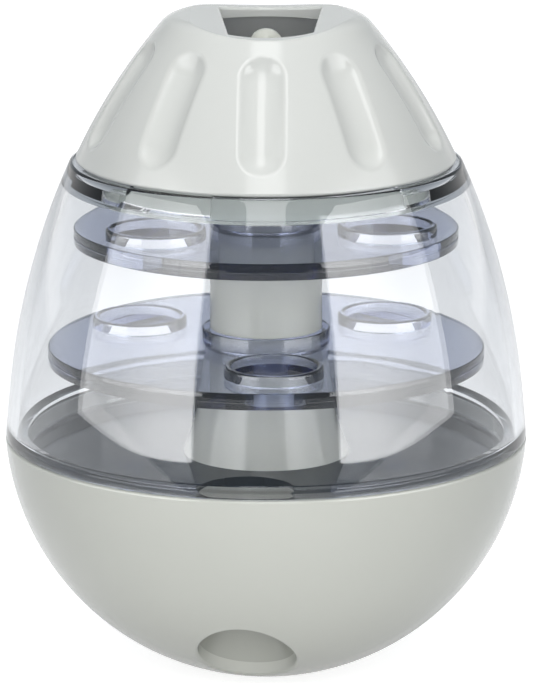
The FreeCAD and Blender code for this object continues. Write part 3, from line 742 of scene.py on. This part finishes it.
class TREAT_OT_stage(bpy.types.Operator):
    """Sets up the floor, the lights, the room and the camera"""

    bl_idname = "treat.stage"
    bl_label = "Studio"

    def execute(self, context):
        scene = context.scene
        self.floor(scene)
        self.room(scene)
        self.lights(scene)
        self.camera(scene)
        scene.view_settings.view_transform = "Standard"
        return {"FINISHED"}

    def floor(self, scene):
        """Pale paper that keeps the shadow and looks white to the eye."""
        s = scene.treat_studio
        material, tree, output = new_material("paper_matt")
        place = add_node(tree, "ShaderNodeTexCoord").outputs["Object"]
        grain = add_node(tree, "ShaderNodeTexNoise", {"Scale": per_metre(2.0)},
                         {"Vector": place})
        white = scene.treat_colours.paper
        tone = mixed(tree, grain.outputs["Fac"], shade(white, 0.97), rgba(white))
        paper = add_node(tree, "ShaderNodeBsdfDiffuse", {}, {"Color": tone})
        straight = add_node(tree, "ShaderNodeMapRange",
                            {"To Min": s.paper_glow * s.paper_dim, "To Max": s.paper_glow},
                            {"Value": seen_rays(tree, "Is Camera Ray")})
        glow = add_node(tree, "ShaderNodeMath", {"operation": "MULTIPLY"})
        tree.links.new(seen_rays(tree, "Is Camera Ray", "Is Glossy Ray", "Is Transmission Ray"),
                       glow.inputs[0])
        tree.links.new(straight.outputs["Result"], glow.inputs[1])
        light = add_node(tree, "ShaderNodeEmission", {}, {"Strength": glow.outputs[0]})
        both = add_node(tree, "ShaderNodeAddShader")
        tree.links.new(paper.outputs["BSDF"], both.inputs[0])
        tree.links.new(light.outputs["Emission"], both.inputs[1])
        tree.links.new(both.outputs["Shader"], output.inputs["Surface"])
        bm = bmesh.new()
        bmesh.ops.create_grid(bm, x_segments=8, y_segments=8, size=s.paper_side)
        for vert in bm.verts:
            vert.co.y = max(vert.co.y, -s.paper_front)
        bmesh.ops.dissolve_degenerate(bm, edges=bm.edges, dist=WELD)
        mesh = bpy.data.meshes.new("studio_paper")
        bm.to_mesh(mesh)
        bm.free()
        mesh.materials.append(material)
        ground = bpy.data.objects.new("studio_paper", mesh)
        scene.collection.objects.link(ground)

    def room(self, scene):
        """Dark room at the camera's side, with a white backdrop behind the object."""
        s = scene.treat_studio
        world = bpy.data.worlds.new("studio_room")
        scene.world = world
        world.use_nodes = True
        tree = world.node_tree
        tree.nodes.clear()
        way = add_node(tree, "ShaderNodeTexCoord").outputs["Generated"]
        parts = add_node(tree, "ShaderNodeSeparateXYZ", {}, {"Vector": way})
        high = add_node(tree, "ShaderNodeMapRange",
                        {"From Min": 0.0, "From Max": BACKDROP_RISE, "To Min": 1.0,
                         "To Max": s.backdrop_high}, {"Value": parts.outputs["Z"]})
        behind = add_node(tree, "ShaderNodeMapRange",
                          {"From Min": ROOM_FRONT, "From Max": ROOM_BACK,
                           "To Min": s.room_level},
                          {"Value": parts.outputs["Y"], "To Max": high.outputs["Result"]})
        strength = add_node(tree, "ShaderNodeMath", {"operation": "MAXIMUM"})
        tree.links.new(behind.outputs["Result"], strength.inputs[0])
        tree.links.new(seen_rays(tree, "Is Camera Ray"), strength.inputs[1])
        cast = mixed(tree, strength.outputs[0], rgba(scene.treat_colours.room),
                     (1.0, 1.0, 1.0, 1.0))
        light = add_node(tree, "ShaderNodeBackground", {},
                         {"Strength": strength.outputs[0], "Color": cast})
        add_node(tree, "ShaderNodeOutputWorld", {}, {"Surface": light.outputs["Background"]})

    def panel(self, scene, name, place, aim, width, height, level):
        """Softbox: a flat light of a given radiance."""
        lamp = bpy.data.lights.new(name, "AREA")
        lamp.shape = "RECTANGLE"
        lamp.size, lamp.size_y = width, height
        lamp.energy = level * math.pi * width * height
        light = bpy.data.objects.new(name, lamp)
        light.location = place
        light.rotation_mode = "QUATERNION"
        light.rotation_quaternion = (Vector(aim) - Vector(place)).to_track_quat("-Z", "Y")
        light.visible_camera = False
        scene.collection.objects.link(light)
        return light

    def softbox(self, scene, name, side):
        """Tall softbox beside the camera, brighter at its foot and at its inner part."""
        s = scene.treat_studio
        place = (side * s.box_distance * math.sin(s.box_azimuth),
                 -s.box_distance * math.cos(s.box_azimuth), s.box_middle)
        light = self.panel(scene, name, place, (0.0, 0.0, s.box_middle), s.box_width,
                           s.box_height, s.box_bright)
        light.visible_diffuse = False
        light.data.use_nodes = True
        tree = light.data.node_tree
        tree.nodes.clear()
        spot = add_node(tree, "ShaderNodeNewGeometry").outputs["Parametric"]
        parts = add_node(tree, "ShaderNodeSeparateXYZ", {}, {"Vector": spot})
        across = add_node(tree, "ShaderNodeMapRange",
                          {"From Min": 0.5 - FADE_HALF * side,
                           "From Max": 0.5 + FADE_HALF * side,
                           "To Min": 1.0, "To Max": s.box_fade}, {"Value": parts.outputs["X"]})
        up = add_node(tree, "ShaderNodeMapRange",
                      {"From Min": CALM_LOW, "From Max": CALM_HIGH, "To Min": 1.0,
                       "To Max": s.box_calm},
                      {"Value": parts.outputs["Y"]})
        both = add_node(tree, "ShaderNodeMath", {"operation": "MULTIPLY"})
        tree.links.new(across.outputs["Result"], both.inputs[0])
        tree.links.new(up.outputs["Result"], both.inputs[1])
        glow = add_node(tree, "ShaderNodeEmission", {}, {"Strength": both.outputs[0]})
        add_node(tree, "ShaderNodeOutputLight", {}, {"Surface": glow.outputs["Emission"]})

    def lights(self, scene):
        """Softboxes beside the camera, a strip light over the cap and two soft fills."""
        s = scene.treat_studio
        self.softbox(scene, "softbox_left", -1.0)
        self.softbox(scene, "softbox_right", 1.0)
        cap = Vector((0.0, 0.0, s.strip_aim))
        away = Vector((0.0, -math.cos(s.strip_elevation), math.sin(s.strip_elevation)))
        self.panel(scene, "strip_light", cap + away * s.strip_distance, cap, s.strip_width,
                   s.strip_length, s.strip_level)
        fills = (("front_fill", (0.0, -s.front_distance, s.front_height), s.front_level),
                 ("top_fill", (0.0, 0.0, s.top_height), s.top_level))
        for name, place, level in fills:
            fill = self.panel(scene, name, place, (0.0, 0.0, s.aim), s.fill_size, s.fill_size,
                              level)
            fill.visible_glossy = False
            fill.visible_transmission = False

    def camera(self, scene):
        """Camera at the viewing angle of a standing viewer, far off and with a long lens."""
        s = scene.treat_studio
        data = bpy.data.cameras.new("camera")
        data.lens = s.lens
        data.sensor_width = SENSOR_MM
        data.shift_x = s.shift
        data.clip_start, data.clip_end = 0.05, 20.0
        eye = bpy.data.objects.new("camera", data)
        aim = Vector((0.0, 0.0, s.aim))
        back = Vector((0.0, -math.cos(s.elevation), math.sin(s.elevation)))
        eye.location = aim + back * s.distance
        eye.rotation_mode = "QUATERNION"
        eye.rotation_quaternion = (-back).to_track_quat("-Z", "Y")
        scene.collection.objects.link(eye)
        scene.camera = eye


class TREAT_PT_panel(bpy.types.Panel):
    """Lists the steps that dress the dispenser"""

    bl_idname = "TREAT_PT_panel"
    bl_label = "Treat egg"
    bl_space_type = "VIEW_3D"
    bl_region_type = "UI"
    bl_category = "Treat egg"

    def draw(self, context):
        for step in STEPS:
            self.layout.operator(step.bl_idname)


GROUPS = {"treat_wall": TREAT_PG_wall, "treat_shelves": TREAT_PG_shelves,
          "treat_column": TREAT_PG_column, "treat_colours": TREAT_PG_colours,
          "treat_studio": TREAT_PG_studio}
STEPS = [TREAT_OT_clear_parts, TREAT_OT_column, TREAT_OT_shells, TREAT_OT_metal, TREAT_OT_stage]
CLASSES = [*GROUPS.values(), *STEPS, TREAT_PT_panel]


def register():
    """Adds the classes and the scene's groups of sizes and colours."""
    for cls in CLASSES:
        bpy.utils.register_class(cls)
    for name, group in GROUPS.items():
        setattr(bpy.types.Scene, name, bpy.props.PointerProperty(type=group))


def unregister():
    """Removes what register adds."""
    for name in GROUPS:
        delattr(bpy.types.Scene, name)
    for cls in reversed(CLASSES):
        bpy.utils.unregister_class(cls)


def main():
    """Runs each step in order."""
    register()
    for step in STEPS:
        group, name = step.bl_idname.split(".")
        getattr(getattr(bpy.ops, group), name)()


if __name__ == "__main__":
    main()
